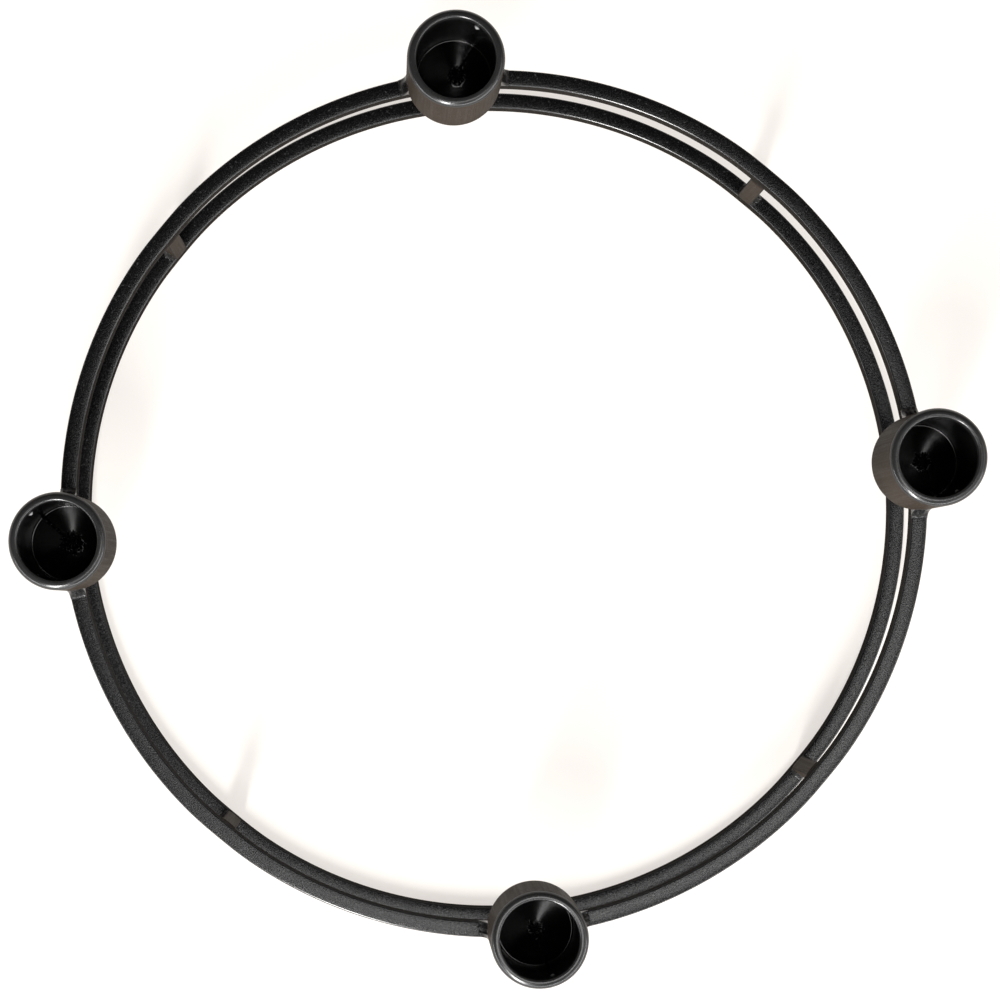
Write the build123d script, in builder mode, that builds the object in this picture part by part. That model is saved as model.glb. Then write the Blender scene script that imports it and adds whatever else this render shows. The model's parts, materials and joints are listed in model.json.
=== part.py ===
from build123d import *
import os

# Advent candle holder: two hoops of square bar, one above the other, held apart by short posts.
# Four round cups for taper candles stand on the upper hoop, midway between the posts.
# The origin is on the hoops' axis, in the plane that the lower hoop rests on. Sizes are in mm.

# Hoops and posts, all of square bar
hoop_outside_diameter = 260.0
bar_side = 5.0
bar_edge_radius = 0.8
hoop_gap = 27.0
post_width = 5.2
post_count = 4

# Candle cups, each a length of tube with its lower end closed. The floor rises towards its middle, and below
# the level of that middle the wall draws in slightly.
cup_count = 4
candle_bore_diameter = 23.0
cup_wall = 2.7
cup_height = 28.0
cup_bottom_radius = 2.0
floor_edge_thickness = 1.8
floor_rise = 4.0
floor_corner_radius = 0.5
wall_draw_in = 0.15
wall_draw_in_radius = 40.0
rim_outer_round_share = 0.64
rim_inner_round_share = 0.25

# Star-shaped pucker in the raised middle of each cup's floor, where the tube was closed
pucker_points = 9
pucker_radius = 2.6
pucker_depth = 0.3
pucker_waist_share = 0.45

# Weld beads
cup_weld_reach = 1.6
cup_weld_climb = 0.8
cup_weld_root_angle = 30.0
post_weld_leg = 1.2
weld_hollow_share = 0.38

# Sizes and places that follow from those above
hoop_outside_radius = hoop_outside_diameter / 2
hoop_inside_radius = hoop_outside_radius - bar_side
hoop_middle_radius = hoop_outside_radius - bar_side / 2
upper_hoop_bottom = bar_side + hoop_gap
upper_hoop_top = upper_hoop_bottom + bar_side
bore_radius = candle_bore_diameter / 2
cup_radius = bore_radius + cup_wall
floor_middle = floor_edge_thickness + floor_rise
pucker_height = floor_rise * pucker_radius / bore_radius + pucker_depth
pucker_bottom = floor_middle - pucker_height
cup_foot_radius = cup_radius - cup_bottom_radius
cup_weld_height = cup_bottom_radius + cup_weld_climb
cup_spacing_angle = 360 / cup_count
post_spacing_angle = 360 / post_count
first_post_angle = post_spacing_angle / 2


def outward(angle):
    """Level unit vector that points away from the hoops' axis."""
    return Vector(1, 0, 0).rotate(Axis.Z, angle)


def on_middle_line(angle, height):
    """Point over the middle of the bar."""
    return outward(angle) * hoop_middle_radius + Vector(0, 0, height)


def radial_plane(angle, height):
    """Upright plane through the hoops' axis: x points outwards and y up."""
    return Plane(on_middle_line(angle, height), x_dir=outward(angle), z_dir=outward(angle - 90))


def crosswise_plane(angle, height):
    """Upright plane across the radius: x runs along the bar and y up."""
    return Plane(on_middle_line(angle, height), x_dir=outward(angle + 90), z_dir=outward(angle))


os.makedirs("parts", exist_ok=True)

# Hoops
for name, bottom in (("lower_ring", 0), ("upper_ring", upper_hoop_bottom)):
    with BuildPart() as hoop:
        with BuildSketch(radial_plane(0, bottom + bar_side / 2)):
            RectangleRounded(bar_side, bar_side, bar_edge_radius)
        revolve(axis=Axis.Z)
    hoop.part.label = name
    export_step(hoop.part, f"parts/{hoop.part.label}.step")

# Posts, with the welds that hold them to both hoops
for number in range(1, post_count + 1):
    angle = first_post_angle + (number - 1) * post_spacing_angle
    with BuildPart() as post:
        with BuildSketch(Plane(on_middle_line(angle, bar_side), x_dir=outward(angle))):
            RectangleRounded(bar_side, post_width, bar_edge_radius)
        extrude(amount=hoop_gap)
    post.part.label = f"post_{number}"
    export_step(post.part, f"parts/{post.part.label}.step")

    weld_places = (("lower", bar_side, post_weld_leg), ("upper", upper_hoop_bottom, -post_weld_leg))
    for name, seat, rise in weld_places:
        with BuildPart() as post_weld:
            with BuildSketch(crosswise_plane(angle, seat)):
                with BuildLine():
                    corner = (post_width / 2, 0)
                    toe = (post_width / 2 + post_weld_leg, 0)
                    top = (post_width / 2, rise)
                    hollow = (
                        post_width / 2 + post_weld_leg * weld_hollow_share,
                        rise * weld_hollow_share,
                    )
                    Polyline(top, corner, toe)
                    ThreePointArc(toe, hollow, top)
                make_face()
                mirror(about=Plane.YZ)
            extrude(amount=bar_side / 2 - bar_edge_radius, both=True)
        post_weld.part.label = f"{name}_post_weld_{number}"
        export_step(post_weld.part, f"parts/{post_weld.part.label}.step")

# Candle cups, with the welds that hold them to the upper hoop
for number in range(1, cup_count + 1):
    angle = (number - 1) * cup_spacing_angle
    cup_plane = radial_plane(angle, upper_hoop_top)
    cup_axis = Axis(cup_plane.origin, (0, 0, 1))
    with BuildPart() as cup:
        with BuildSketch(cup_plane):
            with BuildLine():
                FilletPolyline(
                    (0, 0),
                    (cup_radius, 0),
                    (cup_radius, cup_height),
                    (bore_radius, cup_height),
                    (bore_radius, floor_middle),
                    (bore_radius - wall_draw_in, floor_edge_thickness),
                    (0, floor_middle),
                    radius=[
                        cup_bottom_radius,
                        cup_wall * rim_outer_round_share,
                        cup_wall * rim_inner_round_share,
                        wall_draw_in_radius,
                        floor_corner_radius,
                    ],
                )
                Line((0, floor_middle), (0, 0))
            make_face()
        revolve(axis=cup_axis)
        pucker_middle = on_middle_line(angle, upper_hoop_top + pucker_bottom)
        with BuildSketch(Plane(pucker_middle, x_dir=outward(angle))):
            star = []
            for step in range(2 * pucker_points):
                reach = pucker_radius * (1 if step % 2 == 0 else pucker_waist_share)
                star.append(Vector(reach, 0, 0).rotate(Axis.Z, step * 180 / pucker_points))
            Polygon(*star, align=None)
        extrude(amount=pucker_height, mode=Mode.SUBTRACT)
    cup.part.label = f"candle_cup_{number}"
    export_step(cup.part, f"parts/{cup.part.label}.step")

    with BuildPart() as cup_weld:
        with BuildSketch(cup_plane):
            with BuildLine():
                rounded_edge = CenterArc(
                    (cup_foot_radius, cup_bottom_radius),
                    cup_bottom_radius,
                    start_angle=cup_weld_root_angle - 90,
                    arc_size=90 - cup_weld_root_angle,
                )
                root = rounded_edge @ 0
                toe = (cup_radius + cup_weld_reach, 0)
                top = (cup_radius, cup_weld_height)
                hollow = (
                    cup_radius + cup_weld_reach * weld_hollow_share,
                    cup_weld_height * weld_hollow_share,
                )
                Polyline(root, (root.X, 0), toe)
                ThreePointArc(toe, hollow, top)
                Line(top, rounded_edge @ 1)
            make_face()
        revolve(axis=cup_axis)
        with BuildSketch(Plane.XY.offset(upper_hoop_top)):
            Circle(hoop_outside_radius - bar_edge_radius)
            Circle(hoop_inside_radius + bar_edge_radius, mode=Mode.SUBTRACT)
        extrude(amount=cup_weld_height, mode=Mode.INTERSECT)
    cup_weld.part.label = f"cup_weld_{number}"
    export_step(cup_weld.part, f"parts/{cup_weld.part.label}.step")
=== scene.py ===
import json
import math
import random

import bmesh
import bpy
from mathutils import Matrix, Vector, noise


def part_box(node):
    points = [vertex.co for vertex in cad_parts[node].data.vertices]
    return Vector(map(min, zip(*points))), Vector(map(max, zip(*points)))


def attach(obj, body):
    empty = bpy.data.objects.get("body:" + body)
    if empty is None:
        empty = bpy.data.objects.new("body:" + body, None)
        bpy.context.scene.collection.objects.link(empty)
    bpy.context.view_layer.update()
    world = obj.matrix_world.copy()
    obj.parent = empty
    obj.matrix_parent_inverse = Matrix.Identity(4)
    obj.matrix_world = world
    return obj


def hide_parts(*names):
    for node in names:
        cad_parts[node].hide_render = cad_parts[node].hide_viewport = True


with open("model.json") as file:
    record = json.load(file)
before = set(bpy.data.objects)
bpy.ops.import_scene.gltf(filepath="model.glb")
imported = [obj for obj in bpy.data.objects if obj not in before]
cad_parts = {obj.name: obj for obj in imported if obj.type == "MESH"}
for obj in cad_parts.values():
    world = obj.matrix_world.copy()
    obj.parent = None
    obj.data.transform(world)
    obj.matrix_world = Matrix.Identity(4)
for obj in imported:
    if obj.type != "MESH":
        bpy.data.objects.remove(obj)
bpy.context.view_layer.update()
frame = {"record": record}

# Advent candle holder: two hoops of square bar, posts between them and four cups for taper candles.
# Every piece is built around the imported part, in its frame. Lengths are in metres.

MM = 0.001

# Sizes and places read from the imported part
lower_low, lower_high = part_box("lower_ring")
upper_low, upper_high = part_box("upper_ring")
cup_low, cup_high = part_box("candle_cup_1")
mounts = {mount["name"]: mount for mount in frame["record"]["mounts"]}
BAR = lower_high.z - lower_low.z
HOOP_OUTSIDE = upper_high.x
HOOP_MIDDLE = HOOP_OUTSIDE - BAR / 2
CUP_RADIUS = (cup_high.y - cup_low.y) / 2
CUP_HEIGHT = cup_high.z - cup_low.z
BORE_RADIUS = mounts["candle_bore_1"]["dims"]["r_mm"] * MM
CUP_WALL = CUP_RADIUS - BORE_RADIUS

# Cups and posts are numbered alike, one of each to a quarter turn, with the posts midway between the cups
QUARTER = math.pi / 2
NUMBERS = range(1, 5)
CUP_ANGLES = {number: QUARTER * (number - 1) for number in NUMBERS}
POST_ANGLES = {number: QUARTER * (number - 0.5) for number in NUMBERS}

# Bar section
ARRIS = 0.65 * MM
ARRIS_STEPS = 10
FLAT_STEPS = 8
FACE_CROWN = 0.2 * MM

# Hoops and their slight faults: waves, counted to a turn, and places drawn in by the welds at the posts
HOOP_STEPS = 900
WAVE_COUNTS = (2, 3, 5, 7)
WAVE = 0.16 * MM
WAVE_SHARES = (0.4, 1.0)
WELD_PULL = 0.18 * MM
WELD_PULL_WIDTH = math.radians(3.5)

# Share of each rounded corner of a hoop that still has the coat of its upright side
SIDE_SHARE = 0.35

# Posts
POST_WIDTH = 5.2 * MM
POST_ARRIS = 0.5 * MM
POST_LEVELS = 24
POST_WAVE = 0.06 * MM
POST_WAVE_LENGTH = 7 * MM

# Cup section
FLOOR_EDGE = 1.8 * MM
FLOOR_RISE = 4.0 * MM
FLOOR_TIP = 1.0 * MM
FLOOR_CORNER = 0.35 * MM
WALL_DRAW_IN = 0.15 * MM
FLOOR_RADIUS = BORE_RADIUS - WALL_DRAW_IN
RIM_OUTER = 0.64 * CUP_WALL
RIM_INNER = 0.25 * CUP_WALL
FOOT_ROUND = 2.0 * MM

# Steps of the cup's mesh, around it and along the parts of its section, and the seed of its random draws
CUP_SEED = 40
CUP_STEPS = 288
STAR_ROWS = 52
FLOOR_ROWS = 24
CORNER_STEPS = 14
DRAW_IN_STEPS = 8
BORE_STEPS = 42
RIM_INNER_STEPS = 10
RIM_OUTER_STEPS = 16
WALL_STEPS = 26
FOOT_ROUND_STEPS = 10
FOOT_STEPS = 14

# Rows of the bore below the rim that have the rim's coat, and rows at the rim's outer end that do not
RIM_COAT_EARLY = 3
RIM_COAT_SHORT = 4

# Gathered star in the middle of a cup's floor. It is whole out to a core, and ragged from there to its radius
STAR_REACH = 5.5 * MM
STAR_PIT = 0.5 * MM
STAR_DEPTH = 0.45 * MM
STAR_LUMPS = 0.16 * MM
STAR_CELL = 1.05 * MM
STAR_WOBBLE = 0.35 * MM
STAR_WOBBLE_LENGTH = 0.9 * MM
STAR_RAGGED = 0.35
STAR_RAGGED_LENGTH = 1.6 * MM
STAR_CORE = 0.35

# The star's creases: its arms, and the furrows between its lumps, which are set by how much further the next
# lump's middle is than the nearest one's, counted in cells
CREASE_COUNT = 9
CREASE_JITTER = 0.28
CREASE_LENGTHS = (0.85, 1.25)
CREASE_WIDTHS_MM = (0.15, 0.24)
CREASE_FURROW_GAIN = 0.3
CREASE_TAPER = 0.4
CREASE_FADE = 0.7
FURROW_SPAN = (0.02, 0.2)
HOLLOW_SPAN = (0.0, 0.8)

# Shares of crease and of star above which a face of the floor gets their coats. The crease coat is painted
# shade, matt black with almost no mirror part.
CREASE_SHARE = 0.25
STAR_SHARE = 0.05

# Unevenness of the floor: dents, and folds that fan out from its middle, whose pattern goes round a circle
FLOOR_DENTS = 0.04 * MM
FLOOR_DENT_LENGTH = 3.5 * MM
FLOOR_FOLDS = 0.012 * MM
FLOOR_FOLD_LENGTH = 8 * MM
FLOOR_FOLD_CIRCLE = 6.0

# The tube's seam across the floor: a beaded groove with a low ridge in it, which starts inside the star
FLOOR_SEAM = 0.3 * MM
SEAM_WIDTH = 0.5 * MM
SEAM_GROOVE = 0.8
SEAM_RIDGE = 0.4
SEAM_RIDGE_WIDTH = 0.6 * MM
SEAM_RIDGE_FILL = 0.3
SEAM_WANDER = 0.35 * MM
SEAM_WANDER_LENGTH = 1.3 * MM
SEAM_BEAD_LENGTH = 0.55 * MM
SEAM_BEAD_WIDTH = 0.7 * MM
SEAM_START = 0.5
# Share of the seam's groove that gets the crease coat's painted shade
SEAM_PAINTED_SHADE = 0.45

# The seam up the cup's inner wall: a low lumpy ridge with a cleft along it, and a drip of the coat at its end
WALL_SEAM = 0.1 * MM
WALL_SEAM_WIDTH = 0.45 * MM
WALL_SEAM_FILL = 0.75
WALL_SEAM_LUMPS = 0.5
WALL_SEAM_LENGTH = 1.6 * MM
WALL_CLEFT = 0.8
WALL_CLEFT_WIDTH = 0.2 * MM
DRIP = 0.7 * MM
DRIP_BELOW_RIM = 3.2 * MM
WALL_SEAM_END = 0.5 * DRIP_BELOW_RIM
DRIP_WIDTH = 0.65 * MM
DRIP_HEIGHT = 0.95 * MM
# Span of the drip's bulge over which it is painted pale: a painted highlight
DRIP_HIGHLIGHT_SPAN = (0.15, 0.4)

# Weld beads. A section's bulge is the share of its legs at which its curve is bent, and its back is sunk.
# A run says how far a pattern goes along half a bead, for ripples in radians
BEAD_STEPS = 40
BEAD_CURVE = 10
BEAD_BACK = 0.8
CUP_BEAD_REACH = 2.6 * MM
CUP_BEAD_CLIMB = 6.0 * MM
CUP_BEAD_WIDTH = 0.97 * BAR
CUP_BEAD_SINK = 0.4 * MM
CUP_BEAD_BULGE = 0.13
CUP_BEAD_BULGE_LUMPS = 0.08
CUP_BEAD_LUMPS = 0.1
CUP_BEAD_LUMP_RUN = 2.2
CUP_BEAD_RIPPLE = 0.03
CUP_BEAD_RIPPLE_RUN = 9
POST_BEAD_LEG = 1.2 * MM
POST_BEAD_LENGTH = BAR - 1.2 * ARRIS
POST_BEAD_SINK = 0.2 * MM
POST_BEAD_BULGE = 0.35
POST_BEAD_BULGE_LUMPS = 0.2
POST_BEAD_LUMPS = 0.4
POST_BEAD_LUMP_RUN = 2.0
POST_BEAD_RIPPLE = 0.08
POST_BEAD_RIPPLE_RUN = 8
POST_BEAD_TAPER = 0.6
POST_BEAD_LEAN = 0.25

# How full the two beads at each post's lower end are. At its upper end they change sides
POST_BEAD_FILLS = {1: (1.25, 0.7), 2: (0.8, 1.3), 3: (0.9, 0.8), 4: (1.2, 0.75)}


def polar(angle, radius, height):
    """Point at a distance from the hoops' axis."""
    return Vector((radius * math.cos(angle), radius * math.sin(angle), height))


def turn_difference(a, b):
    """Signed angle from b to a, between minus and plus half a turn."""
    return (a - b + math.pi) % (2 * math.pi) - math.pi


def smooth_step(low, high, value):
    """0 below low, 1 above high, and an even rise between."""
    t = min(1.0, max(0.0, (value - low) / (high - low)))
    return t * t * (3 - 2 * t)


def bell(value, width):
    """1 at zero, falling away evenly on both sides."""
    return math.exp(-(value / width) ** 2)


def uneven(a, b, c=0.0):
    """Smooth noise, up and down about zero, at a place in its pattern. Where a piece's number or side is
    part of the place, it only gives that piece a pattern of its own."""
    return noise.noise(Vector((a, b, c)))


def ring_faces(rows, columns, close_rows=False):
    """Quads of a grid whose rows are closed loops; the rows themselves can close too."""
    faces = []
    for row in range(rows if close_rows else rows - 1):
        for column in range(columns):
            a = row * columns + column
            b = row * columns + (column + 1) % columns
            c = (row + 1) % rows * columns + (column + 1) % columns
            d = (row + 1) % rows * columns + column
            faces.append((a, b, c, d))
    return faces


def add_piece(name, vertices, faces, coats, replaced, coat_of_face=None, edge_values=None):
    """Makes a smooth-shaded mesh piece that rides on the frame and stands for a CAD node."""
    mesh = bpy.data.meshes.new(name)
    mesh.from_pydata(vertices, [], faces)
    for coat in coats:
        mesh.materials.append(coat)
    mesh.polygons.foreach_set("use_smooth", [True] * len(mesh.polygons))
    if coat_of_face:
        mesh.polygons.foreach_set("material_index", coat_of_face)
    if edge_values:
        mesh.attributes.new("edge", "FLOAT", "POINT").data.foreach_set("value", edge_values)
    skin = bmesh.new()
    skin.from_mesh(mesh)
    bmesh.ops.recalc_face_normals(skin, faces=skin.faces)
    skin.to_mesh(mesh)
    skin.free()
    mesh.update()
    piece = bpy.data.objects.new(name, mesh)
    bpy.context.scene.collection.objects.link(piece)
    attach(piece, "root")
    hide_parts(replaced)


# Materials. Scales count the features of a pattern to a metre, and a span is the part of a noise's range
# that is spread out over a whole change
GRAIN_SCALE = 2300.0
GRAIN_DETAIL = 2.0
GRAIN_ROUGHNESS = 0.7
GRAIN_SPAN = (0.36, 0.64)
LUMP_SCALE = 420.0
LUMP_DETAIL = 3.0
CLOUD_SCALE = 55.0
CLOUD_DETAIL = 4.0
CLOUD_SPAN = (0.32, 0.68)
SPECK_SCALE = 1500.0
SPECK_DETAIL = 1.0
SPECK_SPAN = (0.66, 0.76)
WEAR_AND_GLINT_SPAN = (0.30, 0.62)
WEAR_AND_GLINT_SHARES = (0.75, 1.0)
STREAK_SCALE = 1500.0
STREAK_DETAIL = 3.0
STREAK_STRETCH = (1.0, 1.0, 0.02)
STREAK_SPAN = (0.3, 0.7)
STREAK_GLOSS = (-0.06, 0.06)
WHOLE = (0.0, 1.0)


def grey(tone):
    """Colour with no hue."""
    return (tone, tone, tone)


def add_noise(nodes, links, vector, scale, detail, roughness=0.5):
    """Noise pattern at a place, as a socket."""
    texture = nodes.new("ShaderNodeTexNoise")
    texture.inputs["Scale"].default_value = scale
    texture.inputs["Detail"].default_value = detail
    texture.inputs["Roughness"].default_value = roughness
    links.new(vector, texture.inputs["Vector"])
    return texture.outputs["Fac"]


def add_range(nodes, links, value, span, target):
    """Spreads a span of a socket's values over a target range."""
    remap = nodes.new("ShaderNodeMapRange")
    remap.inputs["From Min"].default_value, remap.inputs["From Max"].default_value = span
    remap.inputs["To Min"].default_value, remap.inputs["To Max"].default_value = target
    links.new(value, remap.inputs["Value"])
    return remap.outputs["Result"]


def add_mix(nodes, links, share, first, second):
    """Mixes two colours; each is a colour or a socket. The node's colour sockets are inputs 6 and 7 and
    output 2."""
    mix = nodes.new("ShaderNodeMix")
    mix.data_type = "RGBA"
    links.new(share, mix.inputs["Factor"])
    for socket, value in ((mix.inputs[6], first), (mix.inputs[7], second)):
        if isinstance(value, tuple):
            socket.default_value = value + (1.0,)
        else:
            links.new(value, socket)
    return mix.outputs[2]


def add_math(nodes, links, operation, first, second):
    """Joins two values; each is a number or a socket."""
    node = nodes.new("ShaderNodeMath")
    node.operation = operation
    for socket, value in zip(node.inputs, (first, second)):
        if isinstance(value, float):
            socket.default_value = value
        else:
            links.new(value, socket)
    return node.outputs["Value"]


def black_coat(name, dark, pale, fleck, wear_and_glint, gloss, grain, specular, streaks=0.0):
    """Black coat on steel. dark and pale are the ends of its cloudy tone, fleck the colour of its pale
    specks, the next colour that of edge wear and of the painted highlight on a cup's drip, gloss the (low,
    high) roughness, grain the (fine, broad) bump depths, specular the strength of its mirror-like part and
    streaks the depth of upright marks."""
    material = bpy.data.materials.new(name)
    material.use_nodes = True
    nodes, links = material.node_tree.nodes, material.node_tree.links
    nodes.clear()
    output = nodes.new("ShaderNodeOutputMaterial")
    shader = nodes.new("ShaderNodeBsdfPrincipled")
    links.new(shader.outputs["BSDF"], output.inputs["Surface"])
    shader.inputs["Specular IOR Level"].default_value = specular
    place = nodes.new("ShaderNodeTexCoord").outputs["Object"]

    fine = add_noise(nodes, links, place, GRAIN_SCALE, GRAIN_DETAIL, GRAIN_ROUGHNESS)
    broad = add_noise(nodes, links, place, LUMP_SCALE, LUMP_DETAIL)
    cloud = add_noise(nodes, links, place, CLOUD_SCALE, CLOUD_DETAIL)
    specks = add_noise(nodes, links, place, SPECK_SCALE, SPECK_DETAIL)

    tone = add_mix(nodes, links, add_range(nodes, links, cloud, CLOUD_SPAN, WHOLE), dark, pale)
    tone = add_mix(nodes, links, add_range(nodes, links, specks, SPECK_SPAN, WHOLE), tone, fleck)
    # The edge attribute gives edges their wear colour; on a cup's wall it marks the drip, whose pale spot is
    # a painted highlight
    edge = nodes.new("ShaderNodeAttribute")
    edge.attribute_name = "edge"
    patch_share = add_range(nodes, links, broad, WEAR_AND_GLINT_SPAN, WEAR_AND_GLINT_SHARES)
    wear_and_glint_share = add_math(nodes, links, "MULTIPLY", edge.outputs["Fac"], patch_share)
    tone = add_mix(nodes, links, wear_and_glint_share, tone, wear_and_glint)
    links.new(tone, shader.inputs["Base Color"])

    rough = add_range(nodes, links, fine, GRAIN_SPAN, gloss)
    fine_grain, broad_grain = grain
    fine_depth = add_range(nodes, links, edge.outputs["Fac"], WHOLE, (fine_grain, 0.0))
    height = add_math(nodes, links, "MULTIPLY", fine, fine_depth)
    broad_height = add_math(nodes, links, "MULTIPLY", broad, broad_grain)
    height = add_math(nodes, links, "ADD", height, broad_height)
    if streaks:
        stretch = nodes.new("ShaderNodeMapping")
        stretch.inputs["Scale"].default_value = STREAK_STRETCH
        links.new(place, stretch.inputs["Vector"])
        drawn = add_noise(nodes, links, stretch.outputs["Vector"], STREAK_SCALE, STREAK_DETAIL)
        streak_height = add_math(nodes, links, "MULTIPLY", drawn, streaks)
        height = add_math(nodes, links, "ADD", height, streak_height)
        streak_gloss = add_range(nodes, links, drawn, STREAK_SPAN, STREAK_GLOSS)
        rough = add_math(nodes, links, "ADD", rough, streak_gloss)
    links.new(rough, shader.inputs["Roughness"])
    bump = nodes.new("ShaderNodeBump")
    bump.inputs["Strength"].default_value = 1.0
    bump.inputs["Distance"].default_value = 1.0
    links.new(height, bump.inputs["Height"])
    links.new(bump.outputs["Normal"], shader.inputs["Normal"])
    return material


# What the matt coats share, and what the coats inside a cup share
MATT = {
    "fleck": (0.05, 0.045, 0.04),
    "wear_and_glint": (0.015, 0.014, 0.013),
    "gloss": (0.48, 0.60),
    "grain": (0.012 * MM, 0.010 * MM),
    "streaks": 0.004 * MM,
}
INSIDE = {
    "dark": grey(0.0003),
    "pale": grey(0.0006),
    "fleck": grey(0.002),
    "grain": (0.001 * MM, 0.003 * MM),
}

# Coats of the hoops, of the posts and cups' outsides, of the cups' rims and insides, and of the welds
BAR_COAT = black_coat(
    "bar_satin_black", dark=(0.0008, 0.0008, 0.0009), pale=(0.0016, 0.0016, 0.0018), fleck=grey(0.03),
    wear_and_glint=grey(0.006), gloss=(0.18, 0.32), grain=(0.052 * MM, 0.004 * MM), specular=0.5)
ARRIS_COAT = black_coat(
    "arris_satin_black", dark=grey(0.003), pale=grey(0.006), fleck=grey(0.03),
    wear_and_glint=grey(0.012), gloss=(0.14, 0.19), grain=(0.003 * MM, 0.003 * MM), specular=0.5)
# Upright sides of the hoops: a dark warm tone with almost no mirror part, a painted reflection of a dark
# brown table
SIDE_COAT = black_coat(
    "side_matt_black", dark=(0.011, 0.0095, 0.0082), pale=(0.015, 0.013, 0.0112), specular=0.002, **MATT)
# Posts and cups' outsides: a warm brown tone with a weak mirror part, a painted reflection of a brown table
WALL_COAT = black_coat(
    "wall_matt_black", dark=(0.0238, 0.0182, 0.0138), pale=(0.032, 0.025, 0.019), specular=0.015, **MATT)
# The rim's grey, lighter than the bars' black, is painted sheen
RIM_COAT = black_coat(
    "rim_satin_black", dark=grey(0.011), pale=grey(0.015), fleck=grey(0.02),
    wear_and_glint=grey(0.02), gloss=(0.19, 0.23), grain=(0.0006 * MM, 0.003 * MM), specular=0.5)
# Inside a cup the wear colour shows only on the drip, as a painted highlight
INNER_COAT = black_coat(
    "cup_inside_gloss_black", wear_and_glint=grey(0.5), gloss=(0.16, 0.21), specular=0.75, **INSIDE)
INNER_WALL_COAT = black_coat(
    "cup_wall_satin_black", wear_and_glint=grey(0.3), gloss=(0.20, 0.25), specular=0.4, **INSIDE)
STAR_COAT = black_coat(
    "star_satin_black", wear_and_glint=grey(0.5), gloss=(0.17, 0.22), specular=0.15, **INSIDE)
# Painted shade in the creases and the seam's groove: black with almost no mirror part
CREASE_COAT = black_coat(
    "crease_painted_shade", dark=grey(0.0005), pale=grey(0.001), fleck=grey(0.002),
    wear_and_glint=grey(0.001), gloss=(0.5, 0.6), grain=(0.004 * MM, 0.004 * MM), specular=0.05)
WELD_COAT = black_coat(
    "weld_satin_black", dark=grey(0.003), pale=grey(0.006), fleck=grey(0.03),
    wear_and_glint=grey(0.02), gloss=(0.24, 0.34), grain=(0.008 * MM, 0.008 * MM), specular=0.3)

# The coats of a hoop and of a cup, and the place of each in its list
HOOP_COATS = [BAR_COAT, ARRIS_COAT, SIDE_COAT]
ON_FLAT, ON_ARRIS, ON_SIDE = range(len(HOOP_COATS))
CUP_COATS = [INNER_COAT, RIM_COAT, WALL_COAT, CREASE_COAT, INNER_WALL_COAT, STAR_COAT]
ON_FLOOR, ON_RIM, ON_OUTSIDE, ON_CREASE, ON_BORE, ON_STAR = range(len(CUP_COATS))


# Hoops and posts
def bar_section(width, depth, arris):
    """Rounded section of square bar about its middle, with slightly crowned faces.
    Gives (across, up, edge) points, where edge is 1 on the rounded corners."""
    halves = (width / 2, depth / 2)
    section = []
    for quarter in range(4):
        half, reach = halves[quarter % 2], halves[(quarter + 1) % 2]
        flat = half - arris
        drop = FACE_CROWN * (flat / half) ** 3
        side = []
        for step in range(FLAT_STEPS):
            across = -flat + 2 * flat * step / FLAT_STEPS
            side.append((across, reach - FACE_CROWN * abs(across / half) ** 3, 0.0))
        for step in range(ARRIS_STEPS):
            angle = QUARTER * step / ARRIS_STEPS
            side.append((flat + (arris - drop) * math.sin(angle),
                         reach - arris + (arris - drop) * math.cos(angle), math.sin(2 * angle)))
        c, s = round(math.cos(quarter * QUARTER)), round(math.sin(quarter * QUARTER))
        section += [(c * x + s * y, c * y - s * x, edge) for x, y, edge in side]
    return section


def weld_pull(angle):
    """How far the hoops are drawn in at an angle, by the welds at the posts."""
    turns = [turn_difference(angle, post_angle) for post_angle in POST_ANGLES.values()]
    return sum(WELD_PULL * bell(turn, WELD_PULL_WIDTH) for turn in turns)


def make_hoop(name, node, middle_height, seed):
    """A square bar bent into a closed circle, slightly uneven, drawn in where the posts are welded."""
    draw = random.Random(seed)
    waves = []
    for count in WAVE_COUNTS:
        waves.append((count, draw.uniform(*WAVE_SHARES) * WAVE / count, draw.uniform(0, 2 * math.pi)))
    section = bar_section(BAR, BAR, ARRIS)
    columns = len(section)
    vertices = []
    edges = []
    for step in range(HOOP_STEPS):
        angle = 2 * math.pi * step / HOOP_STEPS
        shift = sum(size * math.sin(count * angle + phase) for count, size, phase in waves)
        shift -= weld_pull(angle)
        for out, up, edge in section:
            vertices.append(polar(angle, HOOP_MIDDLE + shift + out, middle_height + up))
            edges.append(edge)
    faces = ring_faces(HOOP_STEPS, columns, close_rows=True)
    side_length = FLAT_STEPS + ARRIS_STEPS
    coat_of_column = [ON_FLAT if n % side_length < FLAT_STEPS else ON_ARRIS for n in range(columns)]
    turned = round(SIDE_SHARE * ARRIS_STEPS)
    # The section's sides 1 and 3 stand upright
    for side in (1, 3):
        for column in range(side * side_length - turned, side * side_length + FLAT_STEPS + turned):
            coat_of_column[column % columns] = ON_SIDE
    coat_of_face = [coat_of_column[n % columns] for n in range(len(faces))]
    add_piece(name, vertices, faces, HOOP_COATS, node, coat_of_face, edges)


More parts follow.
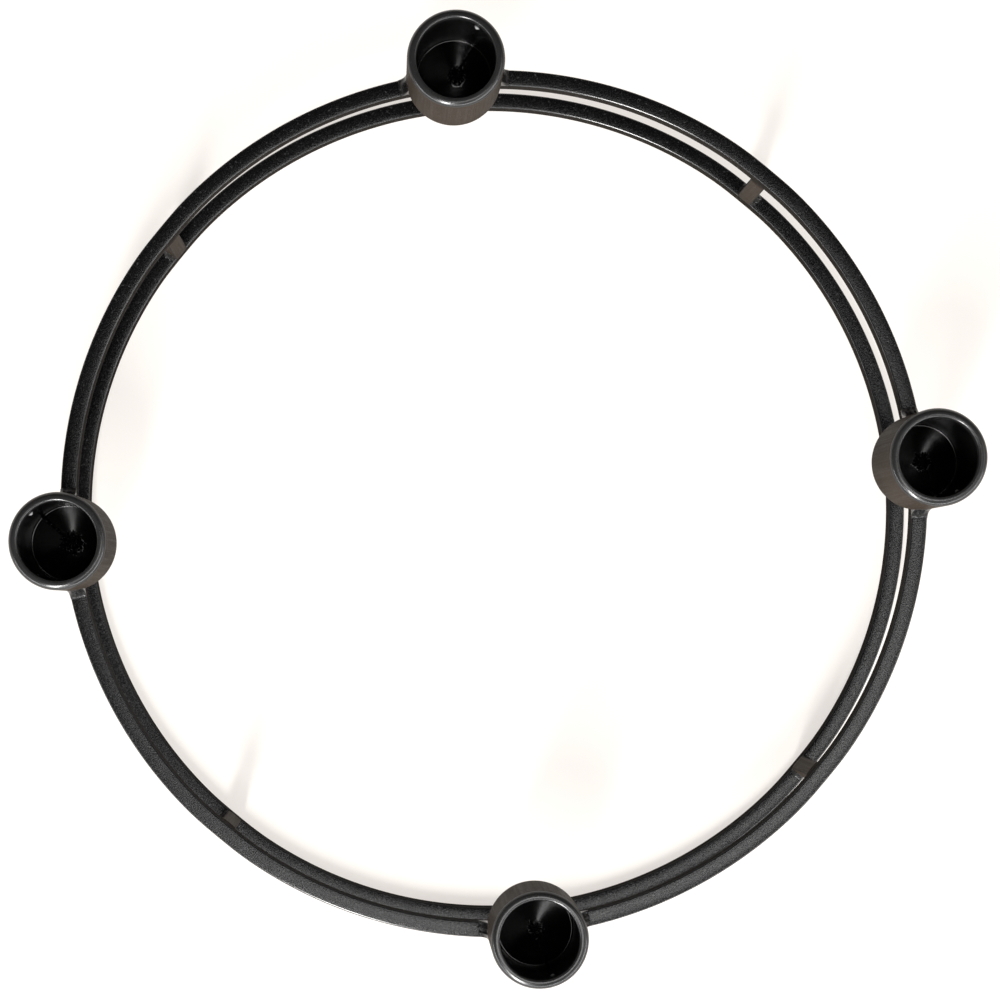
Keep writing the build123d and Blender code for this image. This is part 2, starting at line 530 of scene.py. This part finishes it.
def make_post(number):
    """A short square bar that stands between the hoops, flush with their inner sides."""
    angle = POST_ANGLES[number]
    outward, along = polar(angle, 1.0, 0), polar(angle + QUARTER, 1.0, 0)
    middle = outward * (HOOP_MIDDLE - WELD_PULL)
    foot, head = lower_high.z, upper_low.z
    section = bar_section(BAR, POST_WIDTH, POST_ARRIS)
    columns = len(section)
    vertices = []
    edges = []
    for level in range(POST_LEVELS + 1):
        height = foot + (head - foot) * level / POST_LEVELS
        wave = POST_WAVE * uneven(height / POST_WAVE_LENGTH, number * 5.0)
        for out, across, edge in section:
            vertices.append(middle + outward * (out + wave) + along * across + Vector((0, 0, height)))
            edges.append(edge)
    faces = ring_faces(POST_LEVELS + 1, columns)
    faces.append(tuple(range(columns)))
    faces.append(tuple(range(POST_LEVELS * columns, (POST_LEVELS + 1) * columns)))
    add_piece(f"spacer_post_{number}", vertices, faces, [WALL_COAT], f"post_{number}",
              edge_values=edges)


make_hoop("lower_hoop", "lower_ring", (lower_low.z + lower_high.z) / 2, seed=11)
make_hoop("upper_hoop", "upper_ring", (upper_low.z + upper_high.z) / 2, seed=23)
for number in NUMBERS:
    make_post(number)


# Cups
def arc(centre_out, centre_up, radius, start, end, steps):
    """Points of a section's rounding, angles in degrees from the outward direction."""
    points = []
    for step in range(steps + 1):
        angle = math.radians(start + (end - start) * step / steps)
        points.append((centre_out + radius * math.cos(angle), centre_up + radius * math.sin(angle)))
    return points


def line(start, end, steps):
    """Points along a straight part of a section, without its two ends."""
    return [(start[0] + (end[0] - start[0]) * n / steps, start[1] + (end[1] - start[1]) * n / steps)
            for n in range(1, steps)]


def floor_height(out):
    """Height of a cup's floor above its foot: a low cone with a blunt tip."""
    return FLOOR_EDGE + FLOOR_RISE * (1 - math.hypot(out, FLOOR_TIP) / FLOOR_RADIUS)


def cup_section():
    """Half section of a cup, from the middle of its floor over the rim to the middle of its foot.
    Gives the (out, up) points, and the index of the first point of its inner wall, rim and outside."""
    slope = math.atan(FLOOR_RISE / FLOOR_RADIUS)
    corner_out = FLOOR_RADIUS - FLOOR_CORNER
    corner_up = floor_height(corner_out) + FLOOR_CORNER / math.cos(slope)
    corner = arc(corner_out, corner_up, FLOOR_CORNER, 270 - math.degrees(slope), 360, CORNER_STEPS)
    inner_round = arc(BORE_RADIUS + RIM_INNER, CUP_HEIGHT - RIM_INNER, RIM_INNER, 180, 90, RIM_INNER_STEPS)
    outer_round = arc(CUP_RADIUS - RIM_OUTER, CUP_HEIGHT - RIM_OUTER, RIM_OUTER, 90, 0, RIM_OUTER_STEPS)
    foot_round = arc(CUP_RADIUS - FOOT_ROUND, FOOT_ROUND, FOOT_ROUND, 0, -90, FOOT_ROUND_STEPS)
    beyond_star = corner[0][0] - STAR_REACH
    floor_points = [STAR_REACH * row / STAR_ROWS for row in range(1, STAR_ROWS + 1)]
    floor_points += [STAR_REACH + beyond_star * row / FLOOR_ROWS for row in range(1, FLOOR_ROWS)]
    floor_points = [(out, floor_height(out)) for out in floor_points]
    seat = (BORE_RADIUS, FLOOR_EDGE + FLOOR_RISE)
    floor = floor_points + corner
    inside = floor + line(corner[-1], seat, DRAW_IN_STEPS) + [seat] + line(seat, inner_round[0], BORE_STEPS)
    rim = inner_round + outer_round
    outside = line(outer_round[-1], foot_round[0], WALL_STEPS) + foot_round
    outside += line(foot_round[-1], (0.0, 0.0), FOOT_STEPS)
    starts = {"wall": len(floor), "rim": len(inside), "outside": len(inside + rim)}
    return inside + rim + outside, starts


def star_sink(x, y, creases, star_radius, furrows, number):
    """How far the floor sinks near its middle, where the tube's end was gathered shut, how much of the place
    is crease and how much is star, both from 0 to 1. furrows says how far the star is broken up into
    lumps."""
    wobble = Vector((x / STAR_WOBBLE_LENGTH, y / STAR_WOBBLE_LENGTH, number * 4.0))
    other_wobble = wobble + Vector((9.0, 5.0, 2.0))
    x += STAR_WOBBLE * noise.noise(wobble)
    y += STAR_WOBBLE * noise.noise(other_wobble)
    out = math.hypot(x, y)
    crease = bell(out, STAR_PIT)
    for angle, length, width in creases:
        along = x * math.cos(angle) + y * math.sin(angle)
        across = y * math.cos(angle) - x * math.sin(angle)
        if 0 < along < length:
            narrow = width * (1 - CREASE_TAPER * along / length)
            fade = 1 - smooth_step(CREASE_FADE * length, length, along)
            crease = max(crease, bell(across, narrow) * fade)
    ragged = out * (1 + STAR_RAGGED * uneven(x / STAR_RAGGED_LENGTH, y / STAR_RAGGED_LENGTH, number * 2.0))
    within = 1 - smooth_step(STAR_CORE * star_radius, star_radius, ragged)
    near, next_near = noise.voronoi(Vector((x / STAR_CELL, y / STAR_CELL, number * 4.0)))[0][:2]
    furrow = furrows * within * (1 - smooth_step(*FURROW_SPAN, next_near - near))
    crease = max(crease, furrow)
    hollow = within * (1 - smooth_step(*HOLLOW_SPAN, next_near - near))
    sink = STAR_LUMPS * hollow * (1 - crease) + STAR_DEPTH * crease
    return sink, crease, max(within, crease)


def floor_seam(x, y, way, depth, star_radius, number):
    """The seam across the floor, which runs from the star along way. Gives how far it raises a place, and
    how much of the place is crease, for the painted shade of the crease coat."""
    along = x * way.x + y * way.y
    if along <= 0:
        return 0.0, 0.0
    across = y * way.x - x * way.y
    across += SEAM_WANDER * uneven(along / SEAM_WANDER_LENGTH, number * 7.0)
    beads = uneven(along / SEAM_BEAD_LENGTH, number * 3.0, across / SEAM_BEAD_WIDTH)
    grow = smooth_step(SEAM_START * star_radius, star_radius, along)
    groove = (SEAM_GROOVE + beads) * bell(across, SEAM_WIDTH)
    ridge = SEAM_RIDGE * bell(across, SEAM_RIDGE_WIDTH) * (SEAM_RIDGE_FILL + beads)
    matt = SEAM_PAINTED_SHADE * grow * groove * math.sqrt(depth / FLOOR_SEAM)
    return depth * grow * (ridge - groove), matt


def wall_seam(around, up, number):
    """The seam up the inner wall with its drip, at a distance around the wall from the seam and a height
    above the foot. Gives how far the wall stands in, and how much of the drip is painted pale, a painted
    highlight."""
    wall_top = CUP_HEIGHT - RIM_INNER
    drip_middle = wall_top - DRIP_BELOW_RIM
    lumps = WALL_SEAM_FILL + WALL_SEAM_LUMPS * uneven(up / WALL_SEAM_LENGTH, number * 3.0)
    end = 1 - smooth_step(drip_middle, wall_top - WALL_SEAM_END, up)
    profile = bell(around, WALL_SEAM_WIDTH) - WALL_CLEFT * bell(around, WALL_CLEFT_WIDTH)
    drip = bell(around, DRIP_WIDTH) * bell(up - drip_middle, DRIP_HEIGHT)
    return WALL_SEAM * end * lumps * profile + DRIP * drip, smooth_step(*DRIP_HIGHLIGHT_SPAN, drip)


def make_cup(number, seam_angle, seam_depth, star_right, star_up, star_radius, furrows):
    """One candle cup: floor, inner wall, rim, outer wall and foot in a single closed skin.
    seam_angle is the place of the tube's seam around the cup in degrees, and seam_depth its depth in the
    floor. star_right and star_up are the place of the gathered star, off the middle of the floor,
    star_radius is its size and furrows says how far it is broken up into lumps."""
    middle = polar(CUP_ANGLES[number], HOOP_MIDDLE, cup_low.z)
    draw = random.Random(CUP_SEED + number)
    seam = math.radians(seam_angle)
    star_place = Vector((star_right, star_up, 0))
    creases = []
    for n in range(CREASE_COUNT):
        angle = 2 * math.pi * (n + draw.uniform(-CREASE_JITTER, CREASE_JITTER)) / CREASE_COUNT
        length = star_radius * draw.uniform(*CREASE_LENGTHS)
        width = draw.uniform(*CREASE_WIDTHS_MM) * (1 + CREASE_FURROW_GAIN * furrows) * MM
        creases.append((angle, length, width))

    section, starts = cup_section()
    seam_end = Vector((BORE_RADIUS * math.cos(seam) - star_right, BORE_RADIUS * math.sin(seam) - star_up))
    seam_way = seam_end / seam_end.length
    rows = len(section)
    vertices = []
    edges = []
    crease_shares = []
    star_shares = []
    for row, (out, up) in enumerate(section):
        for step in range(CUP_STEPS):
            angle = 2 * math.pi * step / CUP_STEPS
            inward = rise = edge = crease = star = near_middle = 0.0
            if row < starts["wall"]:
                # 1 in the middle of the floor, which is moved to the star's place, and 0 at its edge
                near_middle = max(0.0, 1 - out / FLOOR_RADIUS)
                x = out * math.cos(angle) - star_right * (1 - near_middle)
                y = out * math.sin(angle) - star_up * (1 - near_middle)
                if math.hypot(x, y) < STAR_REACH:
                    sink, crease, star = star_sink(x, y, creases, star_radius, furrows, number)
                    rise -= sink
                dents = uneven(x / FLOOR_DENT_LENGTH, y / FLOOR_DENT_LENGTH, number * 9.0)
                folds = uneven(*polar(angle, FLOOR_FOLD_CIRCLE, number * 5.0 + out / FLOOR_FOLD_LENGTH))
                # Dents and folds fade away over the outer half of the floor
                rise += (FLOOR_DENTS * dents + FLOOR_FOLDS * folds) * min(1.0, 2 * near_middle)
                seam_rise, seam_crease = floor_seam(x, y, seam_way, seam_depth, star_radius, number)
                rise += seam_rise
                crease = max(crease, seam_crease)
            elif row < starts["rim"]:
                # On the wall, edge holds the drip's painted highlight
                inward, edge = wall_seam(BORE_RADIUS * turn_difference(angle, seam), up, number)
            vertices.append(middle + polar(angle, out - inward, up + rise) + star_place * near_middle)
            edges.append(edge)
            crease_shares.append(crease)
            star_shares.append(star)

    faces = ring_faces(rows, CUP_STEPS)
    coat_of_row = [ON_FLOOR] * starts["wall"]
    coat_of_row += [ON_BORE] * (starts["rim"] - RIM_COAT_EARLY - len(coat_of_row))
    coat_of_row += [ON_RIM] * (starts["outside"] - RIM_COAT_SHORT - len(coat_of_row))
    coat_of_row += [ON_OUTSIDE] * (rows - len(coat_of_row))
    coat_of_face = []
    for n, face in enumerate(faces):
        coat = coat_of_row[n // CUP_STEPS]
        # Faces mostly in a crease get the crease coat's painted shade
        if coat == ON_FLOOR and sum(crease_shares[index] for index in face) > len(face) * CREASE_SHARE:
            coat = ON_CREASE
        elif coat == ON_FLOOR and sum(star_shares[index] for index in face) > len(face) * STAR_SHARE:
            coat = ON_STAR
        coat_of_face.append(coat)

    # The middles of the floor and of the foot close the skin
    floor_point = len(vertices)
    middle_sink, middle_crease, _ = star_sink(0.0, 0.0, creases, star_radius, furrows, number)
    vertices.append(middle + star_place + Vector((0, 0, floor_height(0.0) - middle_sink)))
    foot_point = len(vertices)
    vertices.append(middle)
    edges += [0.0, 0.0]
    last_row = (rows - 1) * CUP_STEPS
    for step in range(CUP_STEPS):
        after = (step + 1) % CUP_STEPS
        faces.append((step, after, floor_point))
        coat_of_face.append(ON_CREASE if middle_crease > CREASE_SHARE else ON_STAR)
        faces.append((last_row + after, last_row + step, foot_point))
        coat_of_face.append(ON_OUTSIDE)
    add_piece(f"cup_{number}", vertices, faces, CUP_COATS, f"candle_cup_{number}",
              coat_of_face, edges)


make_cup(1, seam_angle=-64, seam_depth=0.5 * FLOOR_SEAM,
         star_right=0.15 * MM, star_up=0.12 * MM, star_radius=3.0 * MM, furrows=0.9)
make_cup(2, seam_angle=52, seam_depth=0.8 * FLOOR_SEAM,
         star_right=0.8 * MM, star_up=-0.2 * MM, star_radius=3.1 * MM, furrows=0.8)
make_cup(3, seam_angle=129.5, seam_depth=FLOOR_SEAM,
         star_right=1.3 * MM, star_up=0.2 * MM, star_radius=3.6 * MM, furrows=1.0)
make_cup(4, seam_angle=-75.5, seam_depth=FLOOR_SEAM,
         star_right=0.1 * MM, star_up=0.1 * MM, star_radius=2.5 * MM, furrows=0.3)


# Weld beads
def bead_rings(vertices, faces, rings):
    """Adds one closed bead to a mesh, from its sections along its length."""
    first = len(vertices)
    count = len(rings[0])
    for ring in rings:
        vertices += ring
    for face in ring_faces(len(rings), count):
        faces.append(tuple(first + index for index in face))
    faces.append(tuple(range(first, first + count)))
    faces.append(tuple(range(len(vertices) - count, len(vertices))))


def bead_section(corner, out, up, reach, climb, sink, bulge):
    """One section of a bead that fills the corner between a seat and a wall. out points away from the
    wall and up away from the seat; the bead's back is sunk into both."""
    toe, top = corner + out * reach, corner + up * climb
    bend = corner + out * (reach * bulge) + up * (climb * bulge)
    ring = []
    for step in range(BEAD_CURVE + 1):
        t = step / BEAD_CURVE
        ring.append(toe * (1 - t) ** 2 + bend * (2 * t * (1 - t)) + top * t ** 2)
    ring.append(corner + up * (BEAD_BACK * climb) - out * sink)
    ring.append(corner - up * sink - out * sink)
    ring.append(corner + out * (BEAD_BACK * reach) - up * sink)
    return ring


def make_cup_bead(number):
    """The two beads that hold a cup to the bar under it, one at each side of the cup. Each is nearly as wide
    as the bar, rounded off as its edges are, and sweeps from the bar's top up the cup's wall."""
    cup_angle = CUP_ANGLES[number]
    vertices = []
    faces = []
    for side in (-1, 1):
        rings = []
        for step in range(BEAD_STEPS + 1):
            share = 2 * step / BEAD_STEPS - 1
            across = share * CUP_BEAD_WIDTH / 2
            radius = HOOP_MIDDLE + across
            turn = math.acos((radius ** 2 + HOOP_MIDDLE ** 2 - CUP_RADIUS ** 2) / (2 * radius * HOOP_MIDDLE))
            over = max(0.0, abs(across) - (BAR / 2 - ARRIS))
            drop = ARRIS - math.sqrt(ARRIS ** 2 - over ** 2)
            corner = polar(cup_angle + side * turn, radius, cup_low.z - drop)
            along = polar(cup_angle + side * (turn + QUARTER), 1.0, 0)
            lump = uneven(share * CUP_BEAD_LUMP_RUN, number * 6.0, side * 3.0)
            ripple = CUP_BEAD_RIPPLE * math.sin(share * CUP_BEAD_RIPPLE_RUN + number)
            size = 1 + CUP_BEAD_LUMPS * lump + ripple
            bulge = CUP_BEAD_BULGE + CUP_BEAD_BULGE_LUMPS * lump
            rings.append(bead_section(corner, along, Vector((0, 0, 1)), CUP_BEAD_REACH * size,
                                      CUP_BEAD_CLIMB * size, CUP_BEAD_SINK, bulge))
        bead_rings(vertices, faces, rings)
    add_piece(f"cup_bead_{number}", vertices, faces, [WELD_COAT], f"cup_weld_{number}")


def make_post_bead(number, level, seat, rise, fills):
    """The two beads that hold a post's end to a hoop. rise is 1 where they climb the post and -1 where they
    hang down it, and fills holds how full each bead is."""
    angle = POST_ANGLES[number]
    outward, along = polar(angle, 1.0, 0), polar(angle + QUARTER, 1.0, 0)
    middle = outward * (HOOP_MIDDLE - WELD_PULL) + Vector((0, 0, seat))
    vertices = []
    faces = []
    for side, fill in zip((-1, 1), fills):
        rings = []
        for step in range(BEAD_STEPS + 1):
            share = 2 * step / BEAD_STEPS - 1
            lump = uneven(share * POST_BEAD_LUMP_RUN, number * 8.0 + rise, side * 5.0)
            ripple = POST_BEAD_RIPPLE * math.sin(share * POST_BEAD_RIPPLE_RUN + 2 * number + side)
            size = fill * (1 - POST_BEAD_TAPER * share ** 4)
            size *= 1 + POST_BEAD_LEAN * share + POST_BEAD_LUMPS * lump + ripple
            bulge = POST_BEAD_BULGE + POST_BEAD_BULGE_LUMPS * lump
            corner = middle + outward * (share * POST_BEAD_LENGTH / 2) + along * (side * POST_WIDTH / 2)
            rings.append(bead_section(corner, along * side, Vector((0, 0, rise)), POST_BEAD_LEG * size,
                                      POST_BEAD_LEG * size, POST_BEAD_SINK, bulge))
        bead_rings(vertices, faces, rings)
    add_piece(f"{level}_post_bead_{number}", vertices, faces, [WELD_COAT],
              f"{level}_post_weld_{number}")


for number, fills in POST_BEAD_FILLS.items():
    make_cup_bead(number)
    make_post_bead(number, "lower", lower_high.z, 1, fills)
    make_post_bead(number, "upper", upper_low.z, -1, fills[::-1])

# Floor, which turns up far away into a backdrop, so that low views have no dark horizon
FLOOR_SIDE = 24.0
BACKDROP_HEIGHT = 3.2
FLOOR_CLOUD_SCALE = 9.0
FLOOR_CLOUD_DETAIL = 3.0
FLOOR_CLOUD_SPAN = (0.3, 0.7)
FLOOR_TONES = ((0.29, 0.28, 0.267), (0.31, 0.30, 0.287))
FLOOR_GLOW = (1.0, 0.95, 0.90, 1.0)
FLOOR_GLOW_STRENGTH = 0.70
FLOOR_ROUGHNESS = 0.9
FLOOR_SPECULAR = 0.1


def pale_floor():
    """Matt, faintly cloudy floor with a soft glow of its own."""
    material = bpy.data.materials.new("pale_floor")
    material.use_nodes = True
    nodes, links = material.node_tree.nodes, material.node_tree.links
    shader = nodes["Principled BSDF"]
    place = nodes.new("ShaderNodeTexCoord").outputs["Object"]
    cloud = add_noise(nodes, links, place, FLOOR_CLOUD_SCALE, FLOOR_CLOUD_DETAIL)
    share = add_range(nodes, links, cloud, FLOOR_CLOUD_SPAN, WHOLE)
    links.new(add_mix(nodes, links, share, *FLOOR_TONES), shader.inputs["Base Color"])
    shader.inputs["Roughness"].default_value = FLOOR_ROUGHNESS
    shader.inputs["Emission Color"].default_value = FLOOR_GLOW
    shader.inputs["Emission Strength"].default_value = FLOOR_GLOW_STRENGTH
    shader.inputs["Specular IOR Level"].default_value = FLOOR_SPECULAR
    return material


half_floor = FLOOR_SIDE / 2
floor_corners = []
for height in (0.0, BACKDROP_HEIGHT):
    for x, y in ((-1, -1), (1, -1), (1, 1), (-1, 1)):
        floor_corners.append((x * half_floor, y * half_floor, height))
floor_mesh = bpy.data.meshes.new("floor")
floor_mesh.from_pydata(floor_corners, [], [(0, 1, 2, 3)] + ring_faces(2, 4))
floor_mesh.materials.append(pale_floor())
floor = bpy.data.objects.new("floor", floor_mesh)
bpy.context.scene.collection.objects.link(floor)

# Camera: straight above, beside the axis, with the lens shifted to frame the whole object.
# Right and up are directions in the picture. The lens and sensor are in millimetres.
CAMERA_TURN = math.radians(5.43)
CAMERA_HEIGHT = 0.7381
CAMERA_RIGHT = -0.0309
CAMERA_UP = -0.0310
CAMERA_LENS = 84.28
CAMERA_SENSOR = 36.0
SHIFT_RIGHT = 0.1093
SHIFT_UP = 0.1068
image_right = Vector((math.cos(CAMERA_TURN), -math.sin(CAMERA_TURN), 0))
image_up = Vector((math.sin(CAMERA_TURN), math.cos(CAMERA_TURN), 0))
camera_data = bpy.data.cameras.new("camera")
camera_data.lens = CAMERA_LENS
camera_data.sensor_width = CAMERA_SENSOR
camera_data.shift_x = SHIFT_RIGHT
camera_data.shift_y = SHIFT_UP
camera = bpy.data.objects.new("camera", camera_data)
camera.location = image_right * CAMERA_RIGHT + image_up * CAMERA_UP + Vector((0, 0, CAMERA_HEIGHT))
camera.rotation_euler = (0, 0, -CAMERA_TURN)
bpy.context.scene.collection.objects.link(camera)
bpy.context.scene.camera = camera

# Lights
WARM_WHITE = (1.0, 0.99, 0.98)
WARMER_WHITE = (1.0, 0.98, 0.96)
COOL_WHITE = (0.97, 0.98, 1.0)
STRIP = {"from_above": 66, "distance": 2.0, "depth": 0.3, "colour": COOL_WHITE}
WORLD_COLOUR = (1.0, 0.98, 0.95, 1.0)
WORLD_STRENGTH = 0.03


def add_light(name, picture_angle, from_above, distance, width, depth, radiance, colour, roll=0.0):
    """A soft light that faces the origin. It is placed by its direction as seen in the picture and its angle
    from straight above, and rolled about its own axis, all in degrees. radiance is how bright its face is,
    in watts to a square metre and steradian."""
    azimuth = math.radians(picture_angle) - CAMERA_TURN
    tilt = math.radians(from_above)
    towards = polar(azimuth, math.sin(tilt), math.cos(tilt))
    data = bpy.data.lights.new(name, "AREA")
    data.shape = "RECTANGLE"
    data.size = width
    data.size_y = depth
    data.energy = radiance * math.pi * width * depth
    data.color = colour
    light = bpy.data.objects.new(name, data)
    light.location = towards * distance
    turn = towards.to_track_quat("Z", "Y").to_matrix() @ Matrix.Rotation(math.radians(roll), 3, "Z")
    light.rotation_euler = turn.to_euler()
    bpy.context.scene.collection.objects.link(light)


add_light("overhead", picture_angle=311, from_above=10, distance=2.03, width=1.0, depth=0.34,
          radiance=6.5, colour=WARM_WHITE, roll=-17)
add_light("left_strip", picture_angle=228, width=2.2, radiance=12.0, **STRIP)
add_light("right_strip", picture_angle=318, width=2.2, radiance=12.0, **STRIP)
add_light("front_strip", picture_angle=273, width=1.1, radiance=11.0, **STRIP)
add_light("key", picture_angle=252, from_above=46, distance=1.95, width=0.28, depth=1.12,
          radiance=57.0, colour=WARM_WHITE)
add_light("side", picture_angle=340, from_above=46, distance=1.95, width=2.2, depth=1.0,
          radiance=1.6, colour=WARMER_WHITE)

world = bpy.data.worlds.new("studio")
bpy.context.scene.world = world
world.use_nodes = True
background = world.node_tree.nodes["Background"]
background.inputs["Color"].default_value = WORLD_COLOUR
background.inputs["Strength"].default_value = WORLD_STRENGTH
bpy.context.scene.view_settings.view_transform = "Standard"
